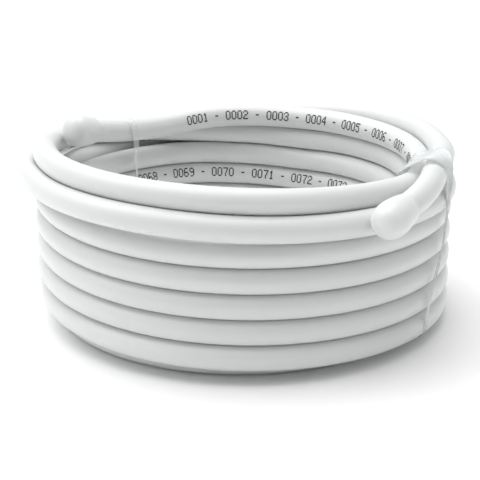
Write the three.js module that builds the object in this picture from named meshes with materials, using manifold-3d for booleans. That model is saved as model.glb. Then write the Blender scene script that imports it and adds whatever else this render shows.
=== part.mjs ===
// A coil of round coaxial cable, tied in two places with clear film and closed at
// both cut ends with soft domed caps. Millimetres, +Z up, lying flat on its turns.
import * as THREE from 'three';
import { mergeVertices } from 'three/addons/utils/BufferGeometryUtils.js';
import Module from 'manifold-3d';

// Cable and coil
const CABLE_DIAMETER = 6.8;
const BORE_DIAMETER = 92.2;
const OUTER_TURNS = 5;
const INNER_TURNS = 5;
const OUTER_TURN_PITCH = 6.8;
const INNER_TURN_PITCH = 6.56;
const OUTER_TURNS_LIFT = 1.5;
const REST_FACE_WIDTH = 3.4;
const COIL_SEGMENTS = 48;

// End caps
const CAP_LENGTH = 12;
const CAP_DIAMETER = 9.6;
const CAP_WIDEST_FROM_MOUTH = 6.5;
const CAP_LIP_WALL = 0.35;
const CAP_SOCKET_DEPTH = 5.5;
const CAP_SEGMENTS = 20;

// Film ties
const FILM_THICKNESS = 0.4;
const FILM_CORNERS = 16;
const LEFT_TIE = { bearing: 138, width: 2.4 };
const RIGHT_TIE = { bearing: -24, width: 3.6 };

// Clearance between pieces that touch
const FIT_GAP = 0.3;

// Tubes of the loose turns
const TUBE_SIDES = 10;
const TUBE_STEP = 2 * CABLE_DIAMETER;
const BEARING_STEP = 12;

// Derived sizes
const CABLE_RADIUS = CABLE_DIAMETER / 2;
const INNER_LAYER_RADIUS = BORE_DIAMETER / 2 + CABLE_RADIUS;
const LAYER_STEP = CABLE_DIAMETER * Math.cos(Math.PI / 6);
const OUTER_LAYER_RADIUS = INNER_LAYER_RADIUS + LAYER_STEP;
const OUTER_BOTTOM_TURN = CABLE_RADIUS + OUTER_TURNS_LIFT;
const OUTER_TOP_TURN = OUTER_BOTTOM_TURN + (OUTER_TURNS - 1) * OUTER_TURN_PITCH;
const INNER_TOP_TURN = CABLE_RADIUS + (INNER_TURNS - 1) * INNER_TURN_PITCH;

// The loose turns, each from its cap down to the wound coil or up from the coil to its
// cap. A point is a bearing in degrees, counter-clockwise from +X seen from above, a
// radial offset from the outer layer and a height over the coil's top outer turn, both
// in cable diameters.
const INNER_END = [
  [152, -1.15, 2.13],
  [140, -1.5, 1.93],
  [125, -1.65, 1.82],
  [100, -1.36, 1.92],
  [70, -1.05, 1.82],
  [40, -1.0, 1.76],
  [10, -0.93, 1.73],
  [-20, -0.67, 1.55],
  [-50, -0.42, 1.87],
  [-80, -0.1, 2.2],
  [-110, 0.02, 2.4],
  [-140, 0, 2.44],
  [-170, -0.06, 2.26],
  [-200, 0.45, 1.8],
  [-215, 0.3, 1.58],
  [-230, -0.25, 1.4],
  [-250, -0.68, 1.16],
  [-290, -0.87, 0.77],
  [-320, -0.85, 0.73],
  [-350, -0.85, 0.7],
];
const OUTER_END = [
  [-380, 0.25, 1.08],
  [-400, 0.32, 1.1],
  [-440, 0.35, 1.26],
  [-480, 0.57, 1.54],
  [-520, 0.51, 1.46],
  [-540, 0.82, 1.28],
  [-560, 1.27, 1.14],
  [-580, 1.3, 1.1],
  [-600, 0.95, 1.23],
  [-620, 0.42, 1.5],
  [-640, 0.05, 1.75],
  [-670, 0.11, 2.08],
  [-700, 0.17, 2.13],
  [-725, 0.15, 2.08],
  [-745, 0.48, 2.18],
  [-757, 0.78, 2.16],
  [-767, 1.1, 1.93],
];

const wasm = await Module();
wasm.setup();

const jacketWhite = () => new THREE.MeshStandardMaterial({ color: 0xe9ebec, roughness: 0.38, metalness: 0 });
const capWhite = () => new THREE.MeshStandardMaterial({ color: 0xf1f2f2, roughness: 0.45, metalness: 0 });
const clearFilm = () => new THREE.MeshStandardMaterial({ color: 0xf4f6f7, roughness: 0.15, metalness: 0 });

function toSolid(geometry) {
  const bare = geometry.clone();
  bare.deleteAttribute('normal');
  bare.deleteAttribute('uv');
  const merged = mergeVertices(bare, 1e-4);
  const mesh = new wasm.Mesh({
    numProp: 3,
    vertProperties: new Float32Array(merged.attributes.position.array),
    triVerts: new Uint32Array(merged.index.array),
  });
  return new wasm.Manifold(mesh);
}

function toGeometry(solid) {
  const mesh = solid.getMesh();
  const geometry = new THREE.BufferGeometry();
  geometry.setAttribute('position', new THREE.BufferAttribute(mesh.vertProperties, 3));
  geometry.setIndex(new THREE.BufferAttribute(mesh.triVerts, 1));
  return geometry;
}

// A point at a bearing, a radius from the coil's axis and a height
function polar(bearing, radius, height) {
  const angle = THREE.MathUtils.degToRad(bearing);
  return new THREE.Vector3(radius * Math.cos(angle), radius * Math.sin(angle), height);
}

// Radius and height of a loose turn at a bearing, on a smooth curve through its points
function sectionAt(route, bearing) {
  let i = 0;
  while (i < route.length - 2 && bearing < route[i + 1][0]) i += 1;
  const [start, end] = [route[i], route[i + 1]];
  const before = route[Math.max(i - 1, 0)];
  const after = route[Math.min(i + 2, route.length - 1)];
  const span = end[0] - start[0];
  const t = (bearing - start[0]) / span;
  const blend = (axis) => {
    const slopeStart = ((end[axis] - before[axis]) / (end[0] - before[0])) * span;
    const slopeEnd = ((after[axis] - start[axis]) / (after[0] - start[0])) * span;
    return (2 * t ** 3 - 3 * t ** 2 + 1) * start[axis] + (t ** 3 - 2 * t ** 2 + t) * slopeStart
      + (3 * t ** 2 - 2 * t ** 3) * end[axis] + (t ** 3 - t ** 2) * slopeEnd;
  };
  return {
    radius: OUTER_LAYER_RADIUS + blend(1) * CABLE_DIAMETER,
    height: OUTER_TOP_TURN + blend(2) * CABLE_DIAMETER,
  };
}

// The centreline of a loose turn, in even steps of bearing
function centreline(route) {
  const first = route[0][0];
  const last = route[route.length - 1][0];
  const steps = Math.ceil((first - last) / BEARING_STEP);
  const points = [];
  for (let i = 0; i <= steps; i += 1) {
    const bearing = first + ((last - first) * i) / steps;
    const { radius, height } = sectionAt(route, bearing);
    points.push(polar(bearing, radius, height));
  }
  return points;
}

// Where a cable end enters its cap: the mouth's centre and the direction into the cap
function capSeat(mouth, behind) {
  return { mouth, inward: mouth.clone().sub(behind).normalize() };
}

function cableTube(points) {
  const section = new THREE.Shape();
  for (let i = 0; i < TUBE_SIDES; i += 1) {
    const angle = (2 * Math.PI * i) / TUBE_SIDES;
    const corner = [CABLE_RADIUS * Math.cos(angle), CABLE_RADIUS * Math.sin(angle)];
    if (i === 0) section.moveTo(...corner);
    else section.lineTo(...corner);
  }
  section.closePath();
  const path = new THREE.CatmullRomCurve3(points, false, 'centripetal');
  const steps = Math.ceil(path.getLength() / TUBE_STEP);
  return new THREE.ExtrudeGeometry(section, { steps, extrudePath: path, bevelEnabled: false });
}

// Points on the round of one turn, from one angle to another; 0 points away from the axis
function turnArc(radius, height, fromDegrees, toDegrees, pieces) {
  const points = [];
  for (let i = 0; i <= pieces; i += 1) {
    const angle = THREE.MathUtils.degToRad(fromDegrees + ((toDegrees - fromDegrees) * i) / pieces);
    points.push(new THREE.Vector2(radius + CABLE_RADIUS * Math.cos(angle), height + CABLE_RADIUS * Math.sin(angle)));
  }
  return points;
}

// The wound turns as one ring: two nested layers whose turns show on every side
function woundRing() {
  const profile = [];
  profile.push(new THREE.Vector2(INNER_LAYER_RADIUS - REST_FACE_WIDTH / 2, 0));
  profile.push(new THREE.Vector2(INNER_LAYER_RADIUS + REST_FACE_WIDTH / 2, 0));
  profile.push(...turnArc(OUTER_LAYER_RADIUS, OUTER_BOTTOM_TURN, -115, -80, 1));
  for (let turn = 0; turn < OUTER_TURNS; turn += 1) {
    const height = OUTER_BOTTOM_TURN + turn * OUTER_TURN_PITCH;
    const top = turn === OUTER_TURNS - 1;
    const bottom = turn === 0;
    profile.push(...turnArc(OUTER_LAYER_RADIUS, height, bottom ? -40 : -70, top ? 150 : 70, top ? 6 : 4));
  }
  for (let turn = INNER_TURNS - 1; turn >= 0; turn -= 1) {
    const height = CABLE_RADIUS + turn * INNER_TURN_PITCH;
    const top = turn === INNER_TURNS - 1;
    const bottom = turn === 0;
    profile.push(...turnArc(INNER_LAYER_RADIUS, height, top ? 50 : 110, bottom ? 220 : 250, top ? 6 : 4));
  }
  profile.push(profile[0].clone());
  const ring = new THREE.LatheGeometry(profile, COIL_SEGMENTS);
  ring.rotateX(Math.PI / 2);
  return ring;
}

// Corners of the tight outline round a set of points in one plane, counter-clockwise
function outlineOf(points) {
  const sorted = [...points].sort((a, b) => a.x - b.x || a.y - b.y);
  const turnsLeft = (a, b, c) => (b.x - a.x) * (c.y - a.y) - (b.y - a.y) * (c.x - a.x) > 1e-6;
  const half = (list) => {
    const chain = [];
    for (const point of list) {
      while (chain.length > 1 && !turnsLeft(chain.at(-2), chain.at(-1), point)) chain.pop();
      chain.push(point);
    }
    return chain.slice(0, -1);
  };
  return [...half(sorted), ...half(sorted.reverse())];
}

// How far a corner of the film lies from a turn's centre, for a distance off its jacket
function filmReach(distance) {
  return (CABLE_RADIUS + distance) / Math.cos(Math.PI / FILM_CORNERS);
}

// Centres of all turns that a tie goes round, within its own width
function turnsUnder(tie) {
  const lift = filmReach(FIT_GAP + FILM_THICKNESS) - CABLE_RADIUS;
  const centres = [
    new THREE.Vector2(INNER_LAYER_RADIUS, CABLE_RADIUS + lift),
    new THREE.Vector2(INNER_LAYER_RADIUS, INNER_TOP_TURN),
    new THREE.Vector2(OUTER_LAYER_RADIUS, OUTER_BOTTOM_TURN),
    new THREE.Vector2(OUTER_LAYER_RADIUS, OUTER_TOP_TURN),
  ];
  const halfAngle = THREE.MathUtils.radToDeg(tie.width / OUTER_LAYER_RADIUS);
  for (const route of [INNER_END, OUTER_END]) {
    for (let lap = -3; lap <= 1; lap += 1) {
      for (const side of [-1, 0, 1]) {
        const bearing = tie.bearing + side * halfAngle + 360 * lap;
        if (bearing <= route[0][0] && bearing >= route.at(-1)[0]) {
          const { radius, height } = sectionAt(route, bearing);
          const chordDip = TUBE_STEP ** 2 / (8 * radius);
          centres.push(new THREE.Vector2(radius, height));
          centres.push(new THREE.Vector2(radius - chordDip, height));
        }
      }
    }
  }
  return centres;
}

// A closed band round the coil's section, between two distances off the turns
function band(tie, inner, outer, width) {
  const offset = (distance) => {
    const points = [];
    for (const centre of turnsUnder(tie)) {
      for (let i = 0; i < FILM_CORNERS; i += 1) {
        const angle = (2 * Math.PI * i) / FILM_CORNERS;
        const reach = filmReach(distance);
        points.push(new THREE.Vector2(centre.x + reach * Math.cos(angle), centre.y + reach * Math.sin(angle)));
      }
    }
    return outlineOf(points);
  };
  const outline = new THREE.Shape(offset(outer));
  outline.holes.push(new THREE.Path(offset(inner)));
  const geometry = new THREE.ExtrudeGeometry(outline, { depth: width, steps: 1, bevelEnabled: false });
  geometry.translate(0, 0, -width / 2);
  const angle = THREE.MathUtils.degToRad(tie.bearing);
  const outward = new THREE.Vector3(Math.cos(angle), Math.sin(angle), 0);
  const up = new THREE.Vector3(0, 0, 1);
  const across = outward.clone().cross(up);
  geometry.applyMatrix4(new THREE.Matrix4().makeBasis(outward, up, across));
  return geometry;
}

function filmTie(tie) {
  return band(tie, FIT_GAP, FIT_GAP + FILM_THICKNESS, tie.width);
}

// The room that a tie needs in the ring, where it passes under the turns
function tieRoom(tie) {
  return band(tie, FIT_GAP / 6, 2 * FIT_GAP + FILM_THICKNESS, tie.width + 2 * FIT_GAP);
}

// A soft cap: thin lip, bulb and round end, with a socket for the cable
function endCap() {
  const widest = CAP_DIAMETER / 2;
  const socketRadius = (CABLE_RADIUS + FIT_GAP) / Math.cos(Math.PI / CAP_SEGMENTS);
  const lipRadius = socketRadius + CAP_LIP_WALL;
  const domeLength = CAP_LENGTH - CAP_WIDEST_FROM_MOUTH;
  const profile = [new THREE.Vector2(0, CAP_SOCKET_DEPTH), new THREE.Vector2(socketRadius, CAP_SOCKET_DEPTH)];
  profile.push(new THREE.Vector2(socketRadius, 0));
  for (let i = 0; i <= 4; i += 1) {
    const t = i / 4;
    const swell = Math.sin((t * Math.PI) / 2);
    profile.push(new THREE.Vector2(lipRadius + (widest - lipRadius) * swell, CAP_WIDEST_FROM_MOUTH * t));
  }
  for (let i = 1; i <= 6; i += 1) {
    const angle = (Math.PI * i) / 12;
    const radius = i === 6 ? 0 : widest * Math.cos(angle);
    profile.push(new THREE.Vector2(radius, CAP_WIDEST_FROM_MOUTH + domeLength * Math.sin(angle)));
  }
  return new THREE.LatheGeometry(profile, CAP_SEGMENTS);
}

function addMesh(group, name, geometry, material) {
  const mesh = new THREE.Mesh(geometry, material);
  mesh.name = name;
  group.add(mesh);
  return mesh;
}

const coil = new THREE.Group();

let ring = toSolid(woundRing());
for (const tie of [LEFT_TIE, RIGHT_TIE]) {
  ring = ring.subtract(toSolid(tieRoom(tie)));
}
addMesh(coil, 'coax_cable_coil', toGeometry(ring), jacketWhite());

const innerLine = centreline(INNER_END);
const outerLine = centreline(OUTER_END);
const seats = {
  inner: capSeat(innerLine[0], innerLine[1]),
  outer: capSeat(outerLine.at(-1), outerLine.at(-2)),
};
const cableInCap = CAP_SOCKET_DEPTH - FIT_GAP;
innerLine.unshift(seats.inner.mouth.clone().addScaledVector(seats.inner.inward, cableInCap));
outerLine.push(seats.outer.mouth.clone().addScaledVector(seats.outer.inward, cableInCap));
addMesh(coil, 'cable_end_inner', cableTube(innerLine), jacketWhite());
addMesh(coil, 'cable_end_outer', cableTube(outerLine), jacketWhite());

for (const [side, seat] of Object.entries(seats)) {
  const cap = addMesh(coil, `end_cap_${side}`, endCap(), capWhite());
  cap.position.copy(seat.mouth);
  cap.quaternion.setFromUnitVectors(new THREE.Vector3(0, 1, 0), seat.inward);
}

addMesh(coil, 'film_tie_left', filmTie(LEFT_TIE), clearFilm());
addMesh(coil, 'film_tie_right', filmTie(RIGHT_TIE), clearFilm());

// The origin is the middle of the whole coil's footprint, on the surface it lies on
const extent = new THREE.Box3().setFromObject(coil, true);
coil.position.set(-(extent.min.x + extent.max.x) / 2, -(extent.min.y + extent.max.y) / 2, 0);

export default coil;
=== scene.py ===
"""Dresses a coil of white coaxial cable that lies flat, tied twice with clear film.

The cable is one long tube in two nested layers, with plain running figures inked along
its inward side, a soft domed cap on each end and two ties of crumpled film.
"""
import logging
import math
from dataclasses import dataclass, field
from enum import Enum

import bmesh
import bpy
import numpy as np
from mathutils import Matrix, Vector


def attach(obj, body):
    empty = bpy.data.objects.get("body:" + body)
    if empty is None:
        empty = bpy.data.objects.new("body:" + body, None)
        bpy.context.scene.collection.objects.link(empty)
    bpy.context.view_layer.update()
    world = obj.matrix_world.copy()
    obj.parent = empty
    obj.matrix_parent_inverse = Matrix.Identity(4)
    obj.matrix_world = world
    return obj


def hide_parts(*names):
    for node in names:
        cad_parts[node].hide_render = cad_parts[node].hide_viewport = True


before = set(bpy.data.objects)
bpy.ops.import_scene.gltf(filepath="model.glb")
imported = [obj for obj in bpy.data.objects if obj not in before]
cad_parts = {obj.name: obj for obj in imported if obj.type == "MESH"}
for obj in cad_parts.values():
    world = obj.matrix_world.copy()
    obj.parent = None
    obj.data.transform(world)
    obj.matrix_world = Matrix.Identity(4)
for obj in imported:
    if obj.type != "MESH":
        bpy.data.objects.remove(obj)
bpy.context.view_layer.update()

LOG = logging.getLogger("coil")

MM = 0.001
CABLE_DIAMETER = 6.8 * MM
CABLE_RADIUS = CABLE_DIAMETER / 2
COIL_AXIS = Vector((2.6475 * MM, 0.3044 * MM, 0.0))

# The outer layer's centreline radius and the height of the ring's top outer turn, from
# which the loose turns are measured, in cable diameters.
LAYER_RADIUS = 8.1455
TOP_TURN = 4.7206

# (bearing, radial offset, height), as the loose turns of the frame: degrees
# counter-clockwise from +X, and cable diameters from the outer layer and the top turn.
INNER_END = (
    (157, -1.02, 2.21), (151, -1.16, 2.06), (140, -1.5, 1.88), (125, -1.65, 1.79), (100, -1.36, 1.92),
    (70, -1.05, 1.82), (40, -1.0, 1.76), (10, -0.93, 1.73), (-20, -0.67, 1.55),
    (-50, -0.42, 1.87), (-80, -0.1, 2.2), (-110, 0.02, 2.4), (-140, 0.0, 2.44),
    (-170, -0.06, 2.26), (-200, 0.45, 1.8), (-215, 0.3, 1.58), (-230, -0.25, 1.4),
    (-250, -0.68, 1.16), (-290, -0.87, 0.77), (-320, -0.85, 0.73), (-350, -0.85, 0.7),
)
OUTER_END = (
    (-380, 0.25, 1.08), (-400, 0.32, 1.1), (-440, 0.35, 1.3), (-480, 0.57, 1.6),
    (-520, 0.51, 1.56), (-540, 0.82, 1.28), (-560, 1.27, 1.14), (-580, 1.3, 1.1),
    (-600, 0.95, 1.23), (-620, 0.42, 1.5), (-640, 0.05, 1.75), (-670, 0.11, 2.08),
    (-700, 0.15, 2.1), (-722, -0.02, 2.06), (-738, 0.0, 2.16), (-749, 0.27, 2.18),
    (-757, 0.68, 2.12), (-764, 0.98, 1.96), (-770.5, 1.16, 1.74),
)
LAPS_BETWEEN = 11

# The wound turns between them, hidden for the most part: (bearing, radius, height), in
# cable diameters from the axis and the floor.
INNER_LAYER = (
    (-440, 7.15, 5.2), (-540, 7.15, 4.98), (-630, 7.28, 4.72), (-720, 7.15, 4.5),
    (-810, 7.15, 4.25), (-900, 7.15, 4.05), (-990, 7.28, 3.81), (-1080, 7.15, 3.55),
    (-1170, 7.15, 3.3), (-1260, 7.15, 3.15), (-1350, 7.28, 2.85), (-1440, 7.15, 2.6),
    (-1530, 7.15, 2.35), (-1620, 7.15, 2.3), (-1710, 7.28, 1.9), (-1800, 7.15, 1.6),
    (-1890, 7.15, 1.5), (-1980, 7.15, 1.45), (-2070, 7.28, 0.95), (-2160, 7.19, 0.5),
    (-2250, 7.28, 0.5), (-2340, 7.42, 0.5), (-2430, 8.2, 0.5),
)
OUTER_LAYER_START = -2430
OUTER_LAYER_END = -4320
OUTER_LAYER_BACK_EASE = 0.13
OUTER_LAYER_LEFT_RISE = 0.07


# Where each film tie runs: (angle round the coil's section from outside towards the top,
# bearing), in degrees. Then how it spreads: (angle, width in mm, pleat depth in mm, how
# bunched from 0 to 1).
LEFT_TIE_LINE = (
    (0, 133), (45, 136), (90, 141), (135, 141), (180, 139.8), (225, 139), (270, 135), (315, 133),
)
LEFT_TIE_SPREAD = (
    (0, 1.2, 0.2, 0.5), (60, 1.6, 0.15, 0.3), (95, 3.4, 0.1, 0.1), (120, 2.6, 0.1, 0.1),
    (140, 0.8, 0.2, 0.6), (180, 0.6, 0.2, 0.7), (270, 1.2, 0.1, 0.4),
)
RIGHT_TIE_LINE = (
    (0, -29.5), (30, -28.5), (60, -28), (75, -28), (90, -26), (98, -22), (106, -16),
    (115, -12.5), (135, -12), (180, -14), (225, -22), (266, -32.6), (290, -34.5), (325, -32),
)
RIGHT_TIE_SPREAD = (
    (0, 1.3, 0.4, 0.5), (40, 1.2, 0.4, 0.55), (58, 1.3, 0.5, 0.7), (68, 4.0, 0.9, 0.6),
    (78, 10.5, 1.2, 0.5), (97, 12.0, 1.3, 0.5), (106, 7.0, 0.9, 0.6), (118, 2.0, 0.5, 0.8),
    (180, 1.5, 0.3, 0.5), (270, 2.0, 0.05, 0.4), (320, 1.6, 0.4, 0.4),
)


def linear(hex_colour: str) -> tuple[float, float, float, float]:
    """Turns an sRGB hex colour into the linear RGBA that shaders take.

    Args:
        hex_colour: Colour such as "e9ebec".

    Returns:
        Red, green, blue and an alpha of 1.
    """
    def channel(text: str) -> float:
        """One channel from two hex digits."""
        value = int(text, 16) / 255
        return value / 12.92 if value <= 0.04045 else ((value + 0.055) / 1.055) ** 2.4

    return (*(channel(hex_colour[i:i + 2]) for i in (0, 2, 4)), 1.0)


def add_node(tree: bpy.types.NodeTree, kind: str, settings: dict | None = None,
             links: dict | None = None) -> bpy.types.Node:
    """Adds a node with its settings and the links into it.

    Args:
        tree: Node tree to add to.
        kind: Node type, such as "ShaderNodeTexNoise".
        settings: Attribute values, or socket defaults where the key starts with "in:".
        links: Output sockets to link, by the name or index of the input they go into.

    Returns:
        The new node.
    """
    node = tree.nodes.new(kind)
    for key, value in (settings or {}).items():
        if key.startswith("in:"):
            node.inputs[key[3:]].default_value = value
        else:
            setattr(node, key, value)
    for key, output in (links or {}).items():
        tree.links.new(output, node.inputs[key])
    return node


def new_material(name: str) -> tuple[bpy.types.Material, bpy.types.NodeTree, bpy.types.Node]:
    """Starts a material with one Principled shader.

    Args:
        name: Name of the real material.

    Returns:
        The material, its node tree and its Principled node.
    """
    material = bpy.data.materials.new(name)
    material.use_nodes = True
    return material, material.node_tree, material.node_tree.nodes["Principled BSDF"]


class Space(Enum):
    """Coordinates that a finish's patterns follow, and how many of their units a millimetre is."""

    ALONG_CABLE = "UV"
    OBJECT = "Object"

    @property
    def millimetre(self) -> float:
        """One millimetre in these coordinates."""
        return 1.0 if self is Space.ALONG_CABLE else MM


def add_noise(tree: bpy.types.NodeTree, space: Space, size_mm: float, detail: float = 2.0,
              drawn_out: float = 1.0) -> bpy.types.NodeSocket:
    """Adds a noise pattern.

    Args:
        tree: Node tree to add to.
        space: Coordinates that it follows.
        size_mm: Size of its blotches in millimetres.
        detail: Noise detail.
        drawn_out: Scale along the first axis; below 1 it draws the pattern out.

    Returns:
        The pattern's output, from 0 to 1.
    """
    place = add_node(tree, "ShaderNodeTexCoord")
    scaled = add_node(tree, "ShaderNodeMapping", {"in:Scale": (drawn_out, 1.0, 1.0)},
                      {"Vector": place.outputs[space.value]})
    noise = add_node(tree, "ShaderNodeTexNoise",
                     {"in:Scale": 1 / (size_mm * space.millimetre), "in:Detail": detail},
                     {"Vector": scaled.outputs[0]})
    return noise.outputs["Fac"]


def add_tint(tree: bpy.types.NodeTree, shader: bpy.types.Node, factor: bpy.types.NodeSocket,
             colour: str, shade: str) -> None:
    """Mixes two colours into the base colour.

    Args:
        tree: Node tree to add to.
        shader: The Principled node.
        factor: How much of the shade shows.
        colour: Colour at 0.
        shade: Colour at 1.
    """
    tint = add_node(tree, "ShaderNodeMix", {"data_type": "RGBA"}, {"Factor": factor})
    tint.inputs["A"].default_value = linear(colour)
    tint.inputs["B"].default_value = linear(shade)
    tree.links.new(tint.outputs["Result"], shader.inputs["Base Color"])


def add_bump(tree: bpy.types.NodeTree, shader: bpy.types.Node, height: bpy.types.NodeSocket,
             strength: float, depth_mm: float) -> None:
    """Adds fine relief to a shader.

    Args:
        tree: Node tree to add to.
        shader: The Principled node.
        height: Height pattern.
        strength: Strength from 0 to 1.
        depth_mm: Depth of the relief in millimetres.
    """
    bump = add_node(tree, "ShaderNodeBump",
                    {"in:Strength": strength, "in:Distance": depth_mm * MM}, {"Height": height})
    tree.links.new(bump.outputs[0], shader.inputs["Normal"])


@dataclass(frozen=True)
class JacketPvc:
    """Extruded white PVC: satin, faintly waxy, with a fine haze drawn out by the die."""

    colour: str = "dfe1e0"
    shade: str = "d6d8d7"
    roughness: float = 0.34
    ior: float = 1.53
    gloss_change: tuple = (-0.05, 0.07)
    haze_mm: float = 9.0
    grain_mm: float = 0.9
    drawn_out: float = 0.12
    grain_strength: float = 0.06
    grain_depth_mm: float = 0.04
    subsurface: float = 0.08
    subsurface_mm: tuple = (1.2, 1.2, 1.1)

    def material(self) -> bpy.types.Material:
        """Builds the jacket's material.

        Returns:
            The material, on the cable's own UV map, which is in millimetres.
        """
        material, tree, shader = new_material("PVC jacket, extruded satin white")
        haze = add_noise(tree, Space.ALONG_CABLE, self.haze_mm, 3.0, self.drawn_out)
        grain = add_noise(tree, Space.ALONG_CABLE, self.grain_mm, 2.0, self.drawn_out)
        add_tint(tree, shader, haze, self.colour, self.shade)
        low, high = self.gloss_change
        gloss = add_node(tree, "ShaderNodeMapRange", {
            "in:To Min": self.roughness + low, "in:To Max": self.roughness + high,
        }, {"Value": haze})
        tree.links.new(gloss.outputs[0], shader.inputs["Roughness"])
        add_bump(tree, shader, grain, self.grain_strength, self.grain_depth_mm)
        shader.inputs["IOR"].default_value = self.ior
        shader.inputs["Subsurface Weight"].default_value = self.subsurface
        shader.inputs["Subsurface Radius"].default_value = Vector(self.subsurface_mm) * MM
        return material


@dataclass(frozen=True)
class CapVinyl:
    """Soft dipped vinyl: a little glossier and warmer than the jacket, and cloudy inside."""

    colour: str = "e4e6e5"
    shade: str = "dadcdb"
    roughness: float = 0.3
    ior: float = 1.52
    cloud_mm: float = 4.0
    dimple_strength: float = 0.08
    dimple_depth_mm: float = 0.08
    subsurface: float = 0.15
    subsurface_mm: tuple = (2.0, 2.0, 1.8)

    def material(self) -> bpy.types.Material:
        """Builds the caps' material.

        Returns:
            The material, on Object coordinates.
        """
        material, tree, shader = new_material("Soft dipped vinyl, white")
        cloud = add_noise(tree, Space.OBJECT, self.cloud_mm)
        add_tint(tree, shader, cloud, self.colour, self.shade)
        add_bump(tree, shader, cloud, self.dimple_strength, self.dimple_depth_mm)
        shader.inputs["Roughness"].default_value = self.roughness
        shader.inputs["IOR"].default_value = self.ior
        shader.inputs["Subsurface Weight"].default_value = self.subsurface
        shader.inputs["Subsurface Radius"].default_value = Vector(self.subsurface_mm) * MM
        return material


@dataclass(frozen=True)
class JacketInk:
    """Black ink-jet dots: matt, slightly broken where the jacket's haze shows through."""

    colour: str = "17181a"
    worn: str = "3a3c3f"
    roughness: float = 0.6
    speck_mm: float = 0.25

    def material(self) -> bpy.types.Material:
        """Builds the ink's material.

        Returns:
            The material, on Object coordinates.
        """
        material, tree, shader = new_material("Ink-jet marking ink, black")
        add_tint(tree, shader, add_noise(tree, Space.OBJECT, self.speck_mm), self.colour, self.worn)
        shader.inputs["Roughness"].default_value = self.roughness
        return material


@dataclass(frozen=True)
class ClearFilm:
    """Thin clear polyethylene: glossy, nearly invisible where flat and milky where bunched."""

    name: str = "Polyethylene film, clear"
    colour: str = "f4f6f7"
    # Painted shade: greyer colour put on folds and edges in place of the darkening that refraction gives
    # clear film there.
    crease_shade_colour: str = "a9adaf"
    roughness: float = 0.16
    ior: float = 1.51
    flat_alpha: float = 0.12
    bunched_alpha: float = 0.75
    wrinkle_mm: float = 0.8
    wrinkle_strength: float = 0.35
    wrinkle_depth_mm: float = 0.15

    def material(self) -> bpy.types.Material:
        """Builds the film's material.

        Returns:
            The material; its clearness follows the "bunched" attribute of the mesh, and
            its painted shade, a greyer colour along folds and edges in place of the
            darkening that refraction gives clear film there, follows a second attribute.
        """
        material, tree, shader = new_material(self.name)
        bunched = add_node(tree, "ShaderNodeAttribute", {"attribute_name": "bunched"})
        painted_crease_shade = add_node(tree, "ShaderNodeAttribute", {"attribute_name": "painted_crease_shade"})
        clearness = add_node(tree, "ShaderNodeMapRange", {
            "in:To Min": self.flat_alpha, "in:To Max": self.bunched_alpha,
        }, {"Value": bunched.outputs["Fac"]})
        tree.links.new(clearness.outputs[0], shader.inputs["Alpha"])
        # Painted shade: the base colour greys along folds and edges for the darkening that refraction
        # gives there.
        add_tint(tree, shader, painted_crease_shade.outputs["Fac"], self.colour, self.crease_shade_colour)
        wrinkle = add_noise(tree, Space.OBJECT, self.wrinkle_mm, 3.0)
        add_bump(tree, shader, wrinkle, self.wrinkle_strength, self.wrinkle_depth_mm)
        shader.inputs["Roughness"].default_value = self.roughness
        shader.inputs["IOR"].default_value = self.ior
        return material


@dataclass(frozen=True)
class StudioPaper:
    """Matt white paper sweep under the coil."""

    colour: str = "fbfbfb"
    roughness: float = 0.9
    fibre_mm: float = 1.11
    fibre_strength: float = 0.02
    fibre_depth_mm: float = 0.05

    def material(self) -> bpy.types.Material:
        """Builds the floor's material.

        Returns:
            The material, on Object coordinates.
        """
        material, tree, shader = new_material("Studio paper, matt white")
        fibre = add_noise(tree, Space.OBJECT, self.fibre_mm)
        add_bump(tree, shader, fibre, self.fibre_strength, self.fibre_depth_mm)
        shader.inputs["Base Color"].default_value = linear(self.colour)
        shader.inputs["Roughness"].default_value = self.roughness
        return material


def deselect() -> None:
    """Leaves nothing selected and no mode but Object."""
    if bpy.context.object and bpy.context.object.mode != "OBJECT":
        bpy.ops.object.mode_set(mode="OBJECT")
    bpy.ops.object.select_all(action="DESELECT")


def make_active(piece: bpy.types.Object) -> None:
    """Selects one object alone and makes it the active one.

    Args:
        piece: The object.
    """
    deselect()
    piece.select_set(True)
    bpy.context.view_layer.objects.active = piece


def mesh_piece(name: str, points: np.ndarray, faces: list, material: bpy.types.Material,
               smooth: bool = True) -> bpy.types.Object:
    """Makes a mesh object at the origin from points in the row frame.

    Args:
        name: Name of the piece.
        points: One row of x, y and z in metres for each vertex.
        faces: Vertex numbers of each face.
        material: Its material.
        smooth: Whether its faces are shaded smooth.

    Returns:
        The new object.
    """
    mesh = bpy.data.meshes.new(name)
    mesh.from_pydata([tuple(p) for p in points], [], faces)
    mesh.materials.append(material)
    mesh.polygons.foreach_set("use_smooth", [smooth] * len(mesh.polygons))
    piece = bpy.data.objects.new(name, mesh)
    bpy.context.scene.collection.objects.link(piece)
    return piece


def grid_faces(rows: int, columns: int, close_rows: bool = False,
               close_columns: bool = False) -> list[tuple]:
    """Joins a grid of vertices with faces.

    Args:
        rows: Number of rows of vertices.
        columns: Number of vertices in a row.
        close_rows: Whether the last row joins the first.
        close_columns: Whether each row's last vertex joins its first.

    Returns:
        The vertex numbers of each face, row by row.
    """
    return [(i * columns + j, i * columns + (j + 1) % columns,
             (i + 1) % rows * columns + (j + 1) % columns, (i + 1) % rows * columns + j)
            for i in range(rows - (not close_rows)) for j in range(columns - (not close_columns))]


def turn_faces_outward(piece: bpy.types.Object) -> None:
    """Makes every face of a closed mesh look outward.

    Args:
        piece: The mesh object.
    """
    bm = bmesh.new()
    bm.from_mesh(piece.data)
    bmesh.ops.recalc_face_normals(bm, faces=bm.faces)
    bm.to_mesh(piece.data)
    bm.free()


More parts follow.
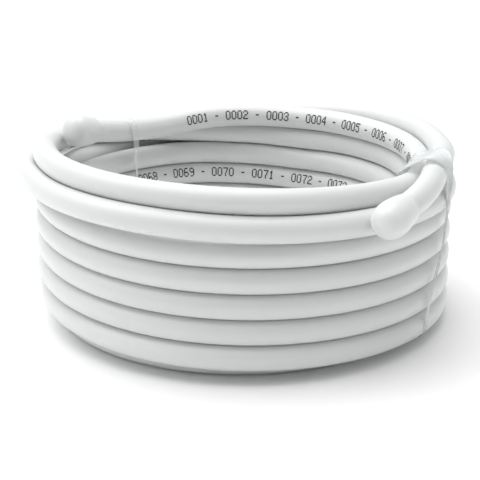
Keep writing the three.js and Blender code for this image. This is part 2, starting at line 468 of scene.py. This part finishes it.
def thicken(piece: bpy.types.Object, thickness: float, offset: float) -> None:
    """Gives a strip of film its thickness.

    Args:
        piece: The strip.
        thickness: Thickness in metres.
        offset: Side that it goes to, 1 or -1, as the Solidify modifier counts it.
    """
    solid = piece.modifiers.new("film", "SOLIDIFY")
    solid.thickness = thickness
    solid.offset = offset
    make_active(piece)
    bpy.ops.object.modifier_apply(modifier=solid.name)
    turn_faces_outward(piece)


def set_attribute(piece: bpy.types.Object, name: str, values: np.ndarray) -> None:
    """Stores one number for each vertex, for a material to read."""
    piece.data.attributes.new(name, "FLOAT", "POINT").data.foreach_set("value", values.ravel())


@dataclass
class CableRoute:
    """The whole cable's centreline, from the inner cap to the outer cap."""

    step_degrees: float = 4.0
    settle_rounds: int = 45
    # Length of cable, in diameters, within which two samples are the same stretch.
    neighbour_gap: float = 20.0
    stiffness_reach: int = 4
    push_share: float = 0.9
    batch: int = 300
    # How firmly the stretches that are seen keep their place: the printed lap and the last
    # laps, the bulge at the left, and the front of the outer layer.
    end_hold: float = 0.9
    bulge_hold: float = 0.6
    front_hold: float = 0.85
    printed_lap_to: float = -300
    bulge_between: tuple = (-700, -560)
    front_side: float = 0.3

    def keys(self) -> np.ndarray:
        """Joins the loose ends and the wound layers.

        Returns:
            Rows of bearing in degrees, radius and height in cable diameters.
        """
        rows = [(b, LAYER_RADIUS + r, TOP_TURN + z) for b, r, z in INNER_END]
        rows += INNER_LAYER
        for bearing in range(OUTER_LAYER_START - 90, OUTER_LAYER_END - 1, -90):
            ease = OUTER_LAYER_BACK_EASE * max(0.0, math.sin(math.radians(bearing)))
            rise = OUTER_LAYER_LEFT_RISE * max(0.0, -math.cos(math.radians(bearing)))
            rows.append((bearing, LAYER_RADIUS + ease, 0.5 + (OUTER_LAYER_START - bearing) / 360 + rise))
        shift = 360 * LAPS_BETWEEN
        rows += [(b - shift, LAYER_RADIUS + r, TOP_TURN + z) for b, r, z in OUTER_END]
        return np.array(rows, float)

    def sampled(self) -> np.ndarray:
        """Runs a smooth curve through the keys.

        Returns:
            Rows of bearing, radius and height at even steps of bearing.
        """
        keys = self.keys()
        first, last = keys[0, 0], keys[-1, 0]
        count = math.ceil((first - last) / self.step_degrees)
        rows = []
        i = 0
        for k in range(count + 1):
            bearing = first + (last - first) * k / count
            while i < len(keys) - 2 and bearing < keys[i + 1, 0]:
                i += 1
            start, end = keys[i], keys[i + 1]
            before, after = keys[max(i - 1, 0)], keys[min(i + 2, len(keys) - 1)]
            span = end[0] - start[0]
            t = (bearing - start[0]) / span
            slope_start = (end - before) / (end[0] - before[0]) * span
            slope_end = (after - start) / (after[0] - start[0]) * span
            row = ((2 * t**3 - 3 * t**2 + 1) * start + (t**3 - 2 * t**2 + t) * slope_start
                   + (3 * t**2 - 2 * t**3) * end + (t**3 - t**2) * slope_end)
            rows.append((bearing, row[1], row[2]))
        return np.array(rows)

    def held(self, bearings: np.ndarray) -> np.ndarray:
        """How firmly each sample keeps its place while the turns settle.

        Args:
            bearings: Bearing of each sample.

        Returns:
            0 where a sample moves freely, and towards 1 where it is seen.
        """
        side = np.sin(np.radians(bearings))
        low, high = self.bulge_between
        hold = np.where(bearings > self.printed_lap_to, self.end_hold, 0.0)
        hold = np.where((bearings < high) & (bearings > low), self.bulge_hold, hold)
        hold = np.where((bearings < OUTER_LAYER_START) & (side < self.front_side), self.front_hold, hold)
        return np.where(bearings < OUTER_LAYER_END, self.end_hold, hold)

    def settled(self) -> np.ndarray:
        """Pushes the turns apart until they only touch, as they lie in a real coil.

        Returns:
            The centreline's points in the row frame, in metres.
        """
        rows = self.sampled()
        angle = np.radians(rows[:, 0])
        points = np.stack([rows[:, 1] * np.cos(angle), rows[:, 1] * np.sin(angle), rows[:, 2]], 1)
        free = 1.0 - self.held(rows[:, 0])
        number = np.arange(len(points))
        arc = self.step_degrees * math.pi / 180 * LAYER_RADIUS
        apart = np.abs(number[:, None] - number[None]) >= self.neighbour_gap / arc
        reach = self.stiffness_reach
        kernel = np.concatenate([np.arange(1, reach + 1), np.arange(reach - 1, 0, -1)]) / reach**2
        for _ in range(self.settle_rounds):
            push = np.zeros_like(points)
            for low in range(0, len(points), self.batch):
                part = slice(low, low + self.batch)
                gap = points[part, None] - points[None]
                length = np.where(apart[part], np.linalg.norm(gap, axis=2), np.inf)
                nearest = np.argmin(length, axis=1)
                row = np.arange(len(nearest))
                closest = length[row, nearest]
                share = free[part] / (free[part] + free[nearest] + 1e-9)
                amount = np.clip(1.0 - closest, 0, None) * share / closest
                push[part] = gap[row, nearest] * amount[:, None]
            for axis in range(3):
                push[:, axis] = np.convolve(push[:, axis], kernel, mode="same")
            points = points + self.push_share * push
            points[:, 2] = np.maximum(points[:, 2], 0.5)
        return points * CABLE_DIAMETER + np.array(COIL_AXIS)


def smooth_path(points: np.ndarray, step: float) -> np.ndarray:
    """Resamples a line of points evenly along a smooth curve through them.

    Args:
        points: Points in order.
        step: Distance between the new points.

    Returns:
        The new points.
    """
    before = np.vstack([2 * points[0] - points[1], points[:-1]])
    after = np.vstack([points[1:], 2 * points[-1] - points[-2]])
    slope = (after - before) / 2
    dense = []
    for i in range(len(points) - 1):
        for t in (0.0, 0.25, 0.5, 0.75):
            dense.append((2 * t**3 - 3 * t**2 + 1) * points[i] + (t**3 - 2 * t**2 + t) * slope[i]
                         + (3 * t**2 - 2 * t**3) * points[i + 1] + (t**3 - t**2) * slope[i + 1])
    dense.append(points[-1])
    dense = np.array(dense)
    along = np.concatenate([[0], np.cumsum(np.linalg.norm(np.diff(dense, axis=0), axis=1))])
    wanted = np.linspace(0, along[-1], max(2, round(along[-1] / step)) + 1)
    return np.stack([np.interp(wanted, along, dense[:, a]) for a in range(3)], 1)


@dataclass
class Cable:
    """The whole cable as one tube, with its running figures."""

    finish: JacketPvc
    ink: JacketInk
    route: CableRoute = field(default_factory=CableRoute)
    ring_step: float = 3.4 * MM
    sides: int = 24
    into_cap: float = 5.2 * MM
    points: np.ndarray | None = None
    along: np.ndarray | None = None
    inward: np.ndarray | None = None
    upward: np.ndarray | None = None

    def lay_out(self) -> None:
        """Finds the centreline and, at each point, the directions inward and up."""
        settled = self.route.settled()
        start, end = (tip + (tip - before) / np.linalg.norm(tip - before) * self.into_cap
                      for tip, before in ((settled[0], settled[1]), (settled[-1], settled[-2])))
        self.points = smooth_path(np.vstack([start, settled, end]), self.ring_step)
        tangent = np.gradient(self.points, axis=0)
        tangent /= np.linalg.norm(tangent, axis=1)[:, None]
        radial = np.array(COIL_AXIS) - self.points
        radial[:, 2] = 0
        radial -= tangent * np.sum(radial * tangent, axis=1)[:, None]
        self.inward = radial / np.linalg.norm(radial, axis=1)[:, None]
        self.upward = np.cross(self.inward, tangent)
        self.upward *= np.sign(self.upward[:, 2:3])
        steps = np.linalg.norm(np.diff(self.points, axis=0), axis=1)
        self.along = np.concatenate([[0], np.cumsum(steps)])

    def cap_place(self, tip: int, before: int) -> tuple[np.ndarray, np.ndarray]:
        """Where a cap's mouth goes on one end of the cable.

        Args:
            tip: Index of the centreline's point at that end.
            before: Index of the point before it.

        Returns:
            The mouth's centre and the direction into the cap.
        """
        inward = self.points[tip] - self.points[before]
        inward /= np.linalg.norm(inward)
        return self.points[tip] - inward * self.into_cap, inward

    @property
    def length(self) -> float:
        """Length of the centreline in metres."""
        return float(self.along[-1])

    def surface(self, distance: np.ndarray, turn: np.ndarray, lift: float = 0.0) -> np.ndarray:
        """Points on the jacket.

        Args:
            distance: Distance of each point along the cable, in metres.
            turn: Angle of each point round the cable, from inward towards up, in radians.
            lift: Height over the jacket.

        Returns:
            The points in the row frame.
        """
        def at(rows: np.ndarray) -> np.ndarray:
            """Rows of a table at the wanted distances."""
            return np.stack([np.interp(distance, self.along, rows[:, a]) for a in range(3)], 1)

        out = at(self.inward) * np.cos(turn)[:, None] + at(self.upward) * np.sin(turn)[:, None]
        return at(self.points) + out * (CABLE_RADIUS + lift)

    def build_tube(self) -> bpy.types.Object:
        """Sweeps the jacket along the centreline, with a UV map in millimetres.

        Returns:
            The cable.
        """
        count = len(self.points)
        angles = np.arange(self.sides) * 2 * math.pi / self.sides
        out = (self.inward[:, None] * np.cos(angles)[None, :, None]
               + self.upward[:, None] * np.sin(angles)[None, :, None])
        verts = (self.points[:, None] + out * CABLE_RADIUS).reshape(-1, 3)
        faces = grid_faces(count, self.sides, close_columns=True)
        faces.append(tuple(reversed(range(self.sides))))
        faces.append(tuple(range((count - 1) * self.sides, count * self.sides)))
        cable = mesh_piece("coax_cable", verts, faces, self.finish.material())
        mesh = cable.data
        layer = mesh.uv_layers.new(name="along_cable")
        around = 2 * math.pi * CABLE_RADIUS / self.sides / MM
        coords = []
        for u0, u1 in zip(self.along[:-1] / MM, self.along[1:] / MM):
            for j in range(self.sides):
                low, high = j * around, (j + 1) * around
                coords += [(u0, low), (u0, high), (u1, high), (u1, low)]
        coords += [(0.0, 0.0)] * (len(mesh.loops) - len(coords))
        layer.data.foreach_set("uv", np.array(coords).ravel())
        turn_faces_outward(cable)
        return cable

    def build(self, caps: list[bpy.types.Object]) -> bpy.types.Object:
        """Args:
            caps: The cap on each end; not used.

        Returns:
            The cable.
        """
        cable = self.build_tube()
        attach(cable, "root")
        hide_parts("coax_cable_coil", "cable_end_inner", "cable_end_outer")
        LOG.info("cable: %.3f m", self.length)
        return cable


# Dots of the figures 0 to 9 and a dash, in rows from the top, seven rows of five dots.
FIGURES = {
    "0": ("01110", "10001", "10001", "10001", "10001", "10001", "01110"),
    "1": ("00100", "01100", "00100", "00100", "00100", "00100", "01110"),
    "2": ("01110", "10001", "00001", "00110", "01000", "10000", "11111"),
    "3": ("01110", "10001", "00001", "00110", "00001", "10001", "01110"),
    "4": ("00010", "00110", "01010", "10010", "11111", "00010", "00010"),
    "5": ("11111", "10000", "11110", "00001", "00001", "10001", "01110"),
    "6": ("01110", "10000", "10000", "11110", "10001", "10001", "01110"),
    "7": ("11111", "00001", "00010", "00010", "00100", "00100", "00100"),
    "8": ("01110", "10001", "10001", "01110", "10001", "10001", "01110"),
    "9": ("01110", "10001", "10001", "01111", "00001", "00001", "01110"),
    "-": ("00000", "00000", "00000", "01110", "00000", "00000", "00000"),
}


@dataclass
class RunningFigures:
    """Plain counting figures with dashes between, in ink-jet dots on the jacket.

    The cable was coiled with a slow twist, so the figures face the bore on the first and
    the fourth lap and turn away in between.
    """

    ink: JacketInk
    column_pitch: float = 0.32 * MM
    row_pitch: float = 0.41 * MM
    dot_radius: float = 0.25 * MM
    lift: float = 0.02 * MM
    thickness: float = 0.015 * MM
    figure_pitch: float = 1.98 * MM
    first_figure: float = 0.0395
    last_figure: float = 1.195
    lean: float = math.radians(14)
    middle_row: int = 3
    dot_corners: int = 6
    # (distance along the cable in metres, turn away from the bore in degrees)
    twist: tuple = ((0.0, 0), (0.135, 0), (0.355, -100), (0.755, -260), (0.935, -356), (1.2, -360))

    def lean_at(self, distances: np.ndarray) -> np.ndarray:
        """Angle of the line of figures round the cable, from inward towards up.

        Args:
            distances: Distances along the cable.

        Returns:
            Angles in radians.
        """
        places, degrees = np.array(self.twist).T
        return self.lean + np.radians(np.interp(distances, places, degrees))

    def build(self, cable: Cable) -> bpy.types.Object:
        """Prints the figures along the first laps.

        Args:
            cable: The laid-out cable.

        Returns:
            The ink dots as one piece.
        """
        starts = np.arange(self.first_figure, self.last_figure, self.figure_pitch)
        distances, rows_up = [], []
        text = "".join(f"{number + 1:04d} - " for number in range(len(starts)))
        for start, sign in zip(starts, text):
            for row, dots in enumerate(FIGURES.get(sign, ())):
                for column, dot in enumerate(dots):
                    if dot == "1":
                        distances.append(start + column * self.column_pitch)
                        rows_up.append((self.middle_row - row) * self.row_pitch)
        distances = np.array(distances)
        turns = self.lean_at(distances) + np.array(rows_up) / CABLE_RADIUS
        n = self.dot_corners
        corners = [(math.cos(a), math.sin(a)) for a in np.arange(n) * 2 * math.pi / n]
        rings = []
        for lift in (self.lift - self.thickness, self.lift):
            for x, y in corners:
                rings.append(cable.surface(distances + x * self.dot_radius,
                                           turns + y * self.dot_radius / CABLE_RADIUS, lift))
        verts = np.stack(rings, 1).reshape(-1, 3)
        faces = []
        for base in range(0, len(verts), 2 * n):
            faces.append(tuple(base + n + k for k in range(n)))
            faces.append(tuple(base + k for k in reversed(range(n))))
            for k in range(n):
                after = (k + 1) % n
                faces.append((base + k, base + after, base + n + after, base + n + k))
        figures = mesh_piece("running_figures", verts, faces, self.ink.material(), smooth=False)
        turn_faces_outward(figures)
        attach(figures, "root")
        LOG.info("running figures: %d dots", len(distances))
        return figures


@dataclass
class EndCap:
    """A soft domed cap pushed over a cut end."""

    name: str
    node: str
    finish: bpy.types.Material
    nub: bool = False
    dome_stretch: float = 1.0
    steps: int = 40
    lip_height: float = 1.0 * MM
    lip_radius: float = 3.7 * MM
    nub_height: float = 0.7 * MM
    nub_narrowness: float = 0.93
    # (distance from the mouth, radius), in millimetres: socket, lip, bulb and dome.
    profile: tuple = (
        (5.4, 0.0), (5.4, 3.3), (5.0, 3.46), (0.6, 3.47), (0.15, 3.5), (0.0, 3.62), (0.05, 3.78),
        (0.35, 3.92), (1.2, 4.12), (2.4, 4.36), (3.8, 4.58), (5.2, 4.74), (6.5, 4.8), (7.7, 4.74),
        (8.8, 4.52), (9.8, 4.1), (10.6, 3.5), (11.25, 2.7), (11.7, 1.8), (11.93, 0.9), (12.0, 0.0),
    )

    def stretched(self) -> list[tuple[float, float]]:
        """The profile with everything past the socket's floor made longer or shorter."""
        floor = self.profile[0][0]
        return [(min(h, floor) + max(h - floor, 0.0) * self.dome_stretch, r) for h, r in self.profile]

    def build(self, mouth: np.ndarray, inward: np.ndarray) -> bpy.types.Object:
        """Traces the cap's profile, spins it and sets it on its cable end.

        Args:
            mouth: Centre of the cap's mouth, in the row frame.
            inward: Direction from the mouth into the cap.

        Returns:
            The cap.
        """
        deselect()
        bpy.ops.mesh.primitive_plane_add(size=1 * MM)
        cap = bpy.context.object
        cap.name = cap.data.name = self.name
        bpy.ops.object.mode_set(mode="EDIT")
        bpy.ops.mesh.select_all(action="SELECT")
        bpy.ops.mesh.merge(type="CENTER")
        profile = self.stretched()
        height, radius = profile[0]
        bpy.ops.transform.translate(value=(radius * MM, 0, height * MM))
        for (h0, r0), (h1, r1) in zip(profile, profile[1:]):
            bpy.ops.mesh.extrude_vertices_move(
                TRANSFORM_OT_translate={"value": ((r1 - r0) * MM, 0, (h1 - h0) * MM)})
        bpy.ops.mesh.select_all(action="SELECT")
        bpy.ops.mesh.spin(steps=self.steps, angle=2 * math.pi, center=(0, 0, 0), axis=(0, 0, 1))
        bpy.ops.mesh.select_all(action="SELECT")
        bpy.ops.mesh.remove_doubles(threshold=0.01 * MM)
        bpy.ops.mesh.normals_make_consistent(inside=False)
        bpy.ops.object.mode_set(mode="OBJECT")
        if self.nub:
            self.add_nub(cap)
        smooth = cap.modifiers.new("round", "SUBSURF")
        smooth.levels = smooth.render_levels = 1
        make_active(cap)
        bpy.ops.object.modifier_apply(modifier=smooth.name)
        bpy.ops.object.shade_smooth()
        towards = Vector(inward).normalized()
        cap.rotation_mode = "QUATERNION"
        cap.rotation_quaternion = towards.to_track_quat("Z", "Y")
        cap.location = Vector(mouth)
        bpy.ops.object.transform_apply(location=True, rotation=True, scale=True)
        cap.data.materials.clear()
        cap.data.materials.append(self.finish)
        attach(cap, "root")
        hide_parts(self.node)
        LOG.info("%s on its cable end", self.name)
        return cap

    def add_nub(self, cap: bpy.types.Object) -> None:
        """Pulls the small moulding nub up at the mouth's upper edge.

        Args:
            cap: The cap, before it is rounded and set in place.
        """
        for vertex in cap.data.vertices:
            place = vertex.co
            on_lip = place.z < self.lip_height and place.xy.length > self.lip_radius
            if on_lip and place.y > self.nub_narrowness * place.xy.length:
                place.y += self.nub_height * (1 - place.z / self.lip_height)


@dataclass
class TautLoop:
    """A closed line pulled tight round all the turns, each point at its own bearing."""

    # (angle round the coil's section from outside towards the top, bearing), in degrees
    bearings: tuple
    off: float = 0.12 * MM
    count: int = 300
    rounds: int = 120
    pull_share: float = 0.9
    bearing_rounds: int = 12
    rim_points: int = 36
    # (distance from the axis, height) of the point that angles are counted about
    section_centre: tuple = (7.7 * CABLE_DIAMETER, 3.6 * CABLE_DIAMETER)
    lowest: float = 0.1 * MM
    # Cosine from the loop's mean bearing down to which the turns count as near.
    nearby: float = 0.5
    push_rounds: int = 2

    def outline(self, turns: np.ndarray, bearing: float) -> np.ndarray:
        """Finds the tight line round the turns that cross one bearing.

        Args:
            turns: Centreline points, from the coil's axis.
            bearing: Bearing in radians.

        Returns:
            Closed line of (distance from the axis, height), evenly spaced.
        """
        out = np.array((math.cos(bearing), math.sin(bearing), 0))
        across = np.array((-math.sin(bearing), math.cos(bearing), 0))
        crossing = (np.abs(turns @ across) < CABLE_RADIUS) & (turns @ out > 0)
        centres = np.stack([turns[crossing] @ out, turns[crossing][:, 2]], 1)
        ring = np.arange(self.rim_points) * 2 * math.pi / self.rim_points
        circle = (CABLE_RADIUS + self.off) * np.stack([np.cos(ring), np.sin(ring)], 1)
        rim = sorted(map(tuple, (centres[:, None] + circle[None]).reshape(-1, 2)))

        def half(rows: list) -> list:
            """Walks one half of the outline.

            Args:
                rows: Points in the order of their distance from the axis.

            Returns:
                The outermost of them, without the last one.
            """
            kept: list = []
            for x, y in rows:
                while len(kept) > 1 and ((kept[-1][0] - kept[-2][0]) * (y - kept[-2][1])
                                         <= (kept[-1][1] - kept[-2][1]) * (x - kept[-2][0])):
                    kept.pop()
                kept.append((x, y))
            return kept[:-1]

        closed = np.array(half(rim) + half(rim[::-1]))
        closed = np.vstack([closed, closed[:1]])
        along = np.concatenate([[0], np.cumsum(np.linalg.norm(np.diff(closed, axis=0), axis=1))])
        wanted = np.linspace(0, along[-1], self.count + 1)[:-1]
        return np.stack([np.interp(wanted, along, closed[:, a]) for a in range(2)], 1)

    def pull(self, cable: Cable) -> dict[str, np.ndarray]:
        """Swings the tight outline to the wanted bearings and pulls it taut on the turns.

        Args:
            cable: The laid-out cable.

        Returns:
            The loop's points, each point's angle round the section, and the directions
            across the loop and off the turns.
        """
        keys = np.array(self.bearings, float)
        middle = math.radians(float(np.mean(keys[:, 1])))
        turns = cable.points - np.array(COIL_AXIS)
        facing = turns @ np.array((math.cos(middle), math.sin(middle), 0))
        turns = turns[facing > self.nearby * np.linalg.norm(turns[:, :2], axis=1)]
        radius, height = self.outline(turns, middle).T
        centre_radius, centre_height = self.section_centre
        angle = np.degrees(np.arctan2(height - centre_height, radius - centre_radius)) % 360
        keys = np.vstack([keys[-1:] - (360, 0), keys, keys[:1] + (360, 0)])
        bearing = np.radians(np.interp(angle, keys[:, 0], keys[:, 1]))
        for _ in range(self.bearing_rounds):
            bearing = (np.roll(bearing, 1) + 2 * bearing + np.roll(bearing, -1)) / 4
        out = np.stack([np.cos(bearing), np.sin(bearing), 0 * bearing], 1)
        up = np.array((0, 0, 1.0))
        reach = CABLE_RADIUS + self.off
        for _ in range(self.rounds):
            point = radius[:, None] * out + height[:, None] * up
            pull = (np.roll(point, 1, axis=0) + np.roll(point, -1, axis=0)) / 2 - point
            radius = radius + self.pull_share * np.sum(pull * out, axis=1)
            height = height + self.pull_share * pull[:, 2]
            for _ in range(self.push_rounds):
                point = radius[:, None] * out + height[:, None] * up
                gap = point[:, None] - turns[None]
                length = np.linalg.norm(gap, axis=2)
                nearest = np.argmin(length, axis=1)
                row = np.arange(self.count)
                short = np.clip(reach - length[row, nearest], 0, None) / length[row, nearest]
                push = gap[row, nearest] * short[:, None]
                radius = radius + np.sum(push * out, axis=1)
                height = np.maximum(height + push[:, 2], self.lowest)
        point = radius[:, None] * out + height[:, None] * up
        along = np.roll(point, -1, axis=0) - np.roll(point, 1, axis=0)
        along /= np.linalg.norm(along, axis=1)[:, None]
        across = np.stack([-np.sin(bearing), np.cos(bearing), 0 * bearing], 1)
        across -= along * np.sum(across * along, axis=1)[:, None]
        across /= np.linalg.norm(across, axis=1)[:, None]
        off = np.cross(across, along)
        centre = centre_radius * out + centre_height * up
        off *= np.sign(np.sum(off * (point - centre), axis=1))[:, None]
        return {"angle": angle, "point": point + np.array(COIL_AXIS), "across": across, "off": off}


@dataclass
class FilmTie:
    """A band of clear film round all the turns, pulled tight and bunched into folds."""

    name: str
    node: str
    finish: bpy.types.Material
    loop: TautLoop
    # (angle round the section, width in mm, pleat depth in mm, how bunched from 0 to 1)
    spread: tuple
    pleats: int = 4
    thickness: float = 0.05 * MM
    across_steps: int = 28
    seed: int = 5
    # (waves round the loop, sway in pleats) of the pleats
    sways: tuple = ((3, 0.25), (8, 0.12))
    # (ripple across the strip, ripple round the loop) of the two waves that crumple it
    crumples: tuple = ((4, 13), (2.3, -9))
    # (waves round the loop, share of the width) by which the strip sways to the side
    side_sway: tuple = (6, 0.05)
    fold_share: float = 0.65
    lift_for_width: float = 0.03
    edge_from: float = 0.88
    crease_sharpness: float = 9.0
    crease_for_depth: float = 3.0
    edge_milk: float = 0.85
    crease_milk: float = 0.35
    # Strength of the painted shade on the strip's edges and folds, for the darkening that refraction
    # gives clear film there.
    edge_painted_shade: float = 0.8
    crease_painted_shade: float = 0.7
    line: dict | None = None

    def build(self, cable: Cable) -> bpy.types.Object:
        """Sweeps a pleated strip round the loop.

        Args:
            cable: The laid-out cable.

        Returns:
            The tie.
        """
        line = self.line = self.loop.pull(cable)
        keys = np.array(self.spread, float)
        keys = np.vstack([keys[-1:] - (360, 0, 0, 0), keys, keys[:1] + (360, 0, 0, 0)])
        width, depth, bunched = (
            np.interp(line["angle"], keys[:, 0], keys[:, k])[:, None] for k in (1, 2, 3))
        rng = np.random.default_rng(self.seed)
        phase = rng.uniform(0, 2 * math.pi, 6)
        around = np.radians(line["angle"])[:, None]
        t = np.linspace(-1, 1, self.across_steps + 1)[None]
        wave = t * self.pleats / 2
        for (waves, sway), shift in zip(self.sways, phase):
            wave = wave + sway * np.sin(waves * around + shift)
        fold = np.abs((wave % 1) * 2 - 1)
        ripples = [np.sin(across * t + waves * around + shift)
                   for (across, waves), shift in zip(self.crumples, phase[2:])]
        crumple = 0.5 + 0.5 * ripples[0] * ripples[1]
        pleated = self.fold_share * fold + (1 - self.fold_share) * crumple
        lift = MM * (depth * pleated + self.lift_for_width * width)
        waves, sway = self.side_sway
        side = MM * width * (t / 2 + sway * np.sin(waves * around + phase[4]))
        verts = (line["point"][:, None] + line["across"][:, None] * side[..., None]
                 + line["off"][:, None] * lift[..., None])
        verts[..., 2] = np.maximum(verts[..., 2], self.loop.lowest / 2)
        faces = grid_faces(*verts.shape[:2], close_rows=True)
        tie = mesh_piece(self.name, verts.reshape(-1, 3), faces, self.finish, smooth=False)
        edge = np.clip((np.abs(t) - self.edge_from) / (1 - self.edge_from), 0, 1)
        crease = np.clip(1 - np.minimum(fold, 1 - fold) * self.crease_sharpness, 0, 1)
        crease = crease * np.clip(depth * self.crease_for_depth, 0, 1)
        milky = np.maximum(bunched + self.crease_milk * crease, self.edge_milk * edge)
        milky = np.clip(milky, 0, 1)
        # Painted shade on the edges and folds, which the film's colour reads.
        painted_shade_lines = np.maximum(self.edge_painted_shade * edge, self.crease_painted_shade * crease)
        set_attribute(tie, "bunched", milky)
        set_attribute(tie, "painted_crease_shade", painted_shade_lines)
        thicken(tie, self.thickness, offset=1)
        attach(tie, "root")
        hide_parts(self.node)
        LOG.info("%s", self.name)
        return tie


@dataclass
class FilmTail:
    """The twisted end of a tie, which hangs into the bore."""

    name: str
    finish: bpy.types.Material
    angle: float
    length: float = 4.6 * MM
    width: float = 1.7 * MM
    turns: float = 1.6
    stand_off: float = 0.6 * MM
    thickness: float = 0.25 * MM
    # Sideways drift of its lower end, as a share of its length.
    drift: tuple = (-0.12, -0.25, 0.0)
    # Its width on the way down: the middle value, the swing about it, and how far through
    # a cosine the swing goes, in radians.
    taper: tuple = (0.55, 0.45, 2.2)
    cupping: float = 0.25 * MM
    cup_ripple: float = 5.0
    steps: int = 40
    across_steps: int = 8

    def build(self, line: dict[str, np.ndarray]) -> bpy.types.Object:
        """Twists a short strip that hangs from the tie.

        Args:
            line: The tie's loop, as TautLoop gives it.

        Returns:
            The tail.
        """
        start = int(np.argmin(np.abs(line["angle"] - self.angle)))
        out = line["off"][start]
        t = np.linspace(0, 1, self.steps + 1)[:, None, None]
        u = np.linspace(-0.5, 0.5, self.across_steps + 1)[None, :, None]
        down = np.array((0, 0, -1.0)) * t + np.array(self.drift) * t * t
        path = line["point"][start] + out * self.stand_off + down * self.length
        turn = 2 * math.pi * self.turns * t
        across = np.cos(turn) * line["across"][start] + np.sin(turn) * out
        middle, swing, sweep = self.taper
        width = self.width * (middle + swing * np.cos(sweep * t))
        cup = self.cupping * np.cos(self.cup_ripple * u * math.pi)
        verts = path + across * u * width + out * cup
        faces = grid_faces(*verts.shape[:2])
        tail = mesh_piece(self.name, verts.reshape(-1, 3), faces, self.finish)
        set_attribute(tail, "bunched", np.ones(len(tail.data.vertices)))
        thicken(tail, self.thickness, offset=-1)
        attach(tail, "root")
        LOG.info("%s", self.name)
        return tail


@dataclass
class Studio:
    """Pale floor, soft lights and the camera at the picture's angle."""

    image_pixels: int = 480
    focal_pixels: float = 1286.139
    elevation: float = 0.328
    distance: float = 54.657 * CABLE_DIAMETER
    look_height: float = 2.76 * CABLE_DIAMETER
    centre: tuple = (243.405, 241.468)
    roll: float = -0.005
    sensor: float = 36.0
    clip: tuple = (0.01, 20.0)
    # The white tent's brightness as seen behind the coil, as light, and at its opening,
    # and the cosines from the camera's direction between which the opening fades out.
    backdrop: float = 1.05
    surround: float = 0.7
    opening: float = 0.03
    opening_edge: tuple = (0.78, 0.96)
    # (name, place, edge length in metres, power in watts)
    softboxes: tuple = (
        ("softbox_top", (-0.2, 0.12, 0.8), 1.0, 7.8),
        ("softbox_left", (-0.9, -0.1, 0.6), 0.9, 1.1),
    )
    aim: tuple = (0, 0, 0.02)
    floor_size: float = 12.0

    @property
    def towards_camera(self) -> Vector:
        """Direction from the coil to the camera."""
        return Vector((0, -math.cos(self.elevation), math.sin(self.elevation)))

    def camera(self) -> None:
        """Sets the camera that the photograph's framing asks for."""
        data = bpy.data.cameras.new("studio_camera")
        camera = bpy.data.objects.new("studio_camera", data)
        bpy.context.scene.collection.objects.link(camera)
        data.sensor_width = self.sensor
        data.lens = self.sensor * self.focal_pixels / self.image_pixels
        data.shift_x = (self.image_pixels / 2 - self.centre[0]) / self.image_pixels
        data.shift_y = (self.centre[1] - self.image_pixels / 2) / self.image_pixels
        data.clip_start, data.clip_end = self.clip
        target = COIL_AXIS + Vector((0, 0, self.look_height))
        camera.location = target + self.towards_camera * self.distance
        turn = (-self.towards_camera).to_track_quat("-Z", "Y").to_matrix()
        turn = turn @ Matrix.Rotation(self.roll, 3, "Z")
        camera.rotation_mode = "QUATERNION"
        camera.rotation_quaternion = turn.to_quaternion()
        bpy.context.scene.camera = camera

    def lights(self) -> None:
        """Adds the softboxes and the white tent, which is open where the camera looks in."""
        for name, place, size, power in self.softboxes:
            data = bpy.data.lights.new(name, "AREA")
            data.shape = "SQUARE"
            data.size = size
            data.energy = power
            light = bpy.data.objects.new(name, data)
            bpy.context.scene.collection.objects.link(light)
            light.location = place
            light.rotation_mode = "QUATERNION"
            light.rotation_quaternion = (Vector(self.aim) - Vector(place)).to_track_quat("-Z", "Y")
        world = bpy.data.worlds.new("white tent")
        world.use_nodes = True
        tree = world.node_tree
        background = tree.nodes["Background"]
        background.inputs["Color"].default_value = linear("ffffff")
        place = add_node(tree, "ShaderNodeTexCoord")
        towards = add_node(tree, "ShaderNodeVectorMath", {"operation": "DOT_PRODUCT"},
                           {0: place.outputs["Generated"]})
        towards.inputs[1].default_value = self.towards_camera
        edge, middle = self.opening_edge
        tent = add_node(tree, "ShaderNodeMapRange", {
            "interpolation_type": "SMOOTHSTEP", "in:From Min": edge, "in:From Max": middle,
            "in:To Min": self.surround, "in:To Max": self.opening,
        }, {"Value": towards.outputs["Value"]})
        seen = add_node(tree, "ShaderNodeLightPath")
        strength = add_node(tree, "ShaderNodeMapRange", {"in:To Max": self.backdrop},
                            {"Value": seen.outputs["Is Camera Ray"], "To Min": tent.outputs[0]})
        tree.links.new(strength.outputs[0], background.inputs["Strength"])
        bpy.context.scene.world = world
        bpy.context.scene.view_settings.view_transform = "Standard"

    def floor(self) -> None:
        """Lays the paper that the coil stands on."""
        deselect()
        bpy.ops.mesh.primitive_plane_add(size=self.floor_size, location=(0, 0, 0))
        floor = bpy.context.object
        floor.name = floor.data.name = "studio_floor"
        floor.data.materials.append(StudioPaper().material())

    def build(self) -> None:
        """Sets up the floor and the lights."""
        self.floor()
        self.lights()


def main() -> None:
    """Builds every piece in order."""
    logging.basicConfig(level=logging.INFO, format="%(name)s: %(message)s")
    studio = Studio()
    studio.camera()
    cable = Cable(JacketPvc(), JacketInk())
    cable.lay_out()
    vinyl = CapVinyl().material()
    caps = [
        EndCap("end_cap_left", "end_cap_inner", vinyl, nub=True, dome_stretch=0.72).build(
            *cable.cap_place(0, 1)),
        EndCap("end_cap_right", "end_cap_outer", vinyl).build(*cable.cap_place(-1, -2)),
    ]
    cable.build(caps)
    RunningFigures(cable.ink).build(cable)
    film = ClearFilm().material()
    FilmTie("film_band_left", "film_tie_left", film, TautLoop(LEFT_TIE_LINE), LEFT_TIE_SPREAD,
            pleats=2, seed=5).build(cable)
    band = FilmTie("film_band_right", "film_tie_right", film, TautLoop(RIGHT_TIE_LINE),
                   RIGHT_TIE_SPREAD, pleats=5, across_steps=50, seed=9)
    band.build(cable)
    FilmTail("film_tail_right", film, angle=106).build(band.line)
    studio.build()


if __name__ == "__main__":
    main()
